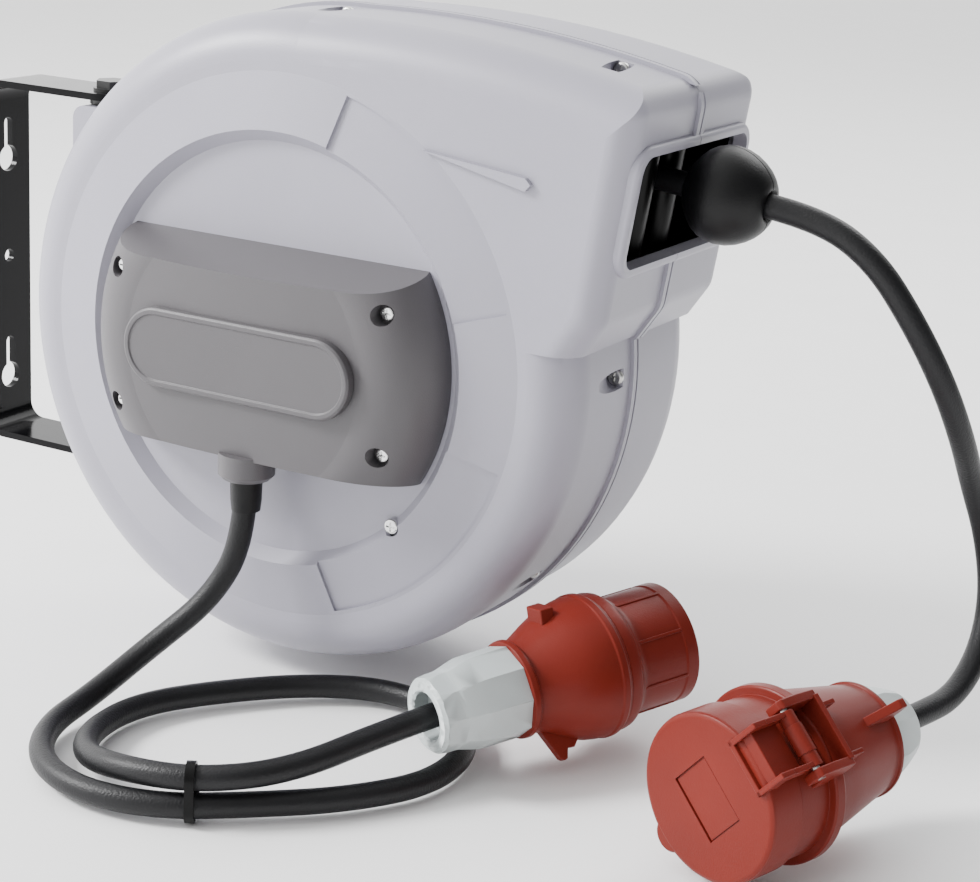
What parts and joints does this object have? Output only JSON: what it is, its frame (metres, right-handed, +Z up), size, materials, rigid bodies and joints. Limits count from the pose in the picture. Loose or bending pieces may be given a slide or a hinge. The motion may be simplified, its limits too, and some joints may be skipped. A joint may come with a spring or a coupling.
{
  "type": "extension cord reel",
  "caption": "Wall-mounted spring-rewind cable reel: round two-half housing on a swivel bracket, roller mouth with ball stopper, red multi-pole plug lead and lidded connector.",
  "frame": {"origin": "middle of the wall plate's back face, at the axis of its middle hole", "axes": "+X out of the wall towards the housing and the outlet, +Z up, drum axis along Y with the terminal cover on the -Y side"},
  "size_m": [0.6298, 0.3482, 0.3725],
  "materials": {
    "bracket_steel": "gloss black enamel",
    "housing_grey": "fine-grained moulded light grey",
    "cover_grey": "fine-grained moulded dark grey",
    "zinc_steel": "bright zinc plate",
    "chrome_screw": "polished",
    "spring_steel": "blued",
    "black_bolt": "black oxide",
    "bronze": "plain",
    "brass": "plain",
    "carbon": "carbon",
    "inner_black": "matt black",
    "spool_grey": "matt",
    "cable_rubber": "smooth black sheath",
    "stopper_rubber": "matt black",
    "plug_red": "satin red",
    "nut_white": "satin pale grey",
    "insert_black": "matt"
  },
  "bodies": {
    "bracket": {"wall_bracket": "bracket_steel", "pivot_bolts": "black_bolt"},
    "housing": {"swivel_bushes": "bronze", "swivel_washers": "black_bolt", "front_shell": "housing_grey", "rear_shell": "housing_grey", "seam_screws": "zinc_steel", "terminal_cover": "cover_grey", "cover_screws": "chrome_screw", "disc_screw": "chrome_screw", "main_shaft": "zinc_steel", "shaft_nut": "zinc_steel", "rear_cap": "cover_grey", "spring_arbor": "zinc_steel", "pawl_pin": "zinc_steel", "pawl_spring": "spring_steel", "brush_holder": "inner_black", "brushes": "carbon", "terminal_block": "inner_black", "terminal_screws": "brass", "roller_guide": "inner_black", "roller_pins": "zinc_steel", "cable_inner_run": "cable_rubber", "stopper_front": "stopper_rubber", "stopper_rear": "stopper_rubber", "stopper_bolts": "zinc_steel", "inlet_sleeve": "stopper_rubber", "inlet_lead": "cable_rubber", "cable_tie": "inner_black", "plug_nut": "nut_white", "plug_body": "plug_red", "plug_shroud": "plug_red", "plug_pins": "brass", "outlet_cord": "cable_rubber", "connector_body": "plug_red", "connector_insert": "insert_black", "connector_contacts": "brass", "lid_pin": "zinc_steel", "lid_spring": "spring_steel", "connector_nut": "nut_white"},
    "spool": {"spool_core": "spool_grey", "spool_flange_front": "spool_grey", "spool_flange_rear": "spool_grey", "wound_cable": "cable_rubber", "front_bush": "bronze", "rear_bush": "bronze", "spring_cassette": "zinc_steel", "cassette_lid": "zinc_steel", "mainspring": "spring_steel", "ratchet_ring": "zinc_steel", "slip_ring_core": "inner_black", "slip_rings": "brass"},
    "ratchet_pawl": {"pawl": "zinc_steel"},
    "upper_roller": {"roller_upper": "inner_black"},
    "lower_roller": {"roller_lower": "inner_black"},
    "front_roller": {"roller_front": "inner_black"},
    "rear_roller": {"roller_rear": "inner_black"},
    "outlet_lid": {"connector_lid": "plug_red"}
  },
  "joints": [
    {"name": "bracket_swivel", "type": "hinge", "parent": "bracket", "child": "housing", "pos_m": [0.084, 0, 0], "axis": [0, 0, 1], "range_deg": [-65, 85]},
    {"name": "spool_spin", "type": "hinge", "parent": "housing", "child": "spool", "pos_m": [0.256, 0, -0.0025], "axis": [0, 1, 0], "continuous": true},
    {"name": "pawl_lift", "type": "hinge", "parent": "housing", "child": "ratchet_pawl", "pos_m": [0.18705, 0.0555, 0.08576], "axis": [0, 1, 0], "range_deg": [0, 25], "stiffness_Nm_per_rad": 0.01, "springref_deg": -28.65},
    {"name": "lid_hinge", "type": "hinge", "parent": "housing", "child": "outlet_lid", "pos_m": [0.60155, -0.15115, -0.11101], "axis": [-0.6977, 0.2204, 0.6816], "range_deg": [0, 105], "stiffness_Nm_per_rad": 0.03, "springref_deg": -68.75},
    {"name": "upper_roller_spin", "type": "hinge", "parent": "housing", "child": "upper_roller", "pos_m": [0.42083, 0, 0.12301], "axis": [0, 1, 0], "continuous": true},
    {"name": "lower_roller_spin", "type": "hinge", "parent": "housing", "child": "lower_roller", "pos_m": [0.41657, 0, 0.09271], "axis": [0, 1, 0], "continuous": true},
    {"name": "front_roller_spin", "type": "hinge", "parent": "housing", "child": "front_roller", "pos_m": [0.43572, -0.0153, 0.09963], "axis": [0.1392, 0, 0.9903], "continuous": true},
    {"name": "rear_roller_spin", "type": "hinge", "parent": "housing", "child": "rear_roller", "pos_m": [0.43572, 0.0153, 0.09963], "axis": [0.1392, 0, 0.9903], "continuous": true}
  ]
}
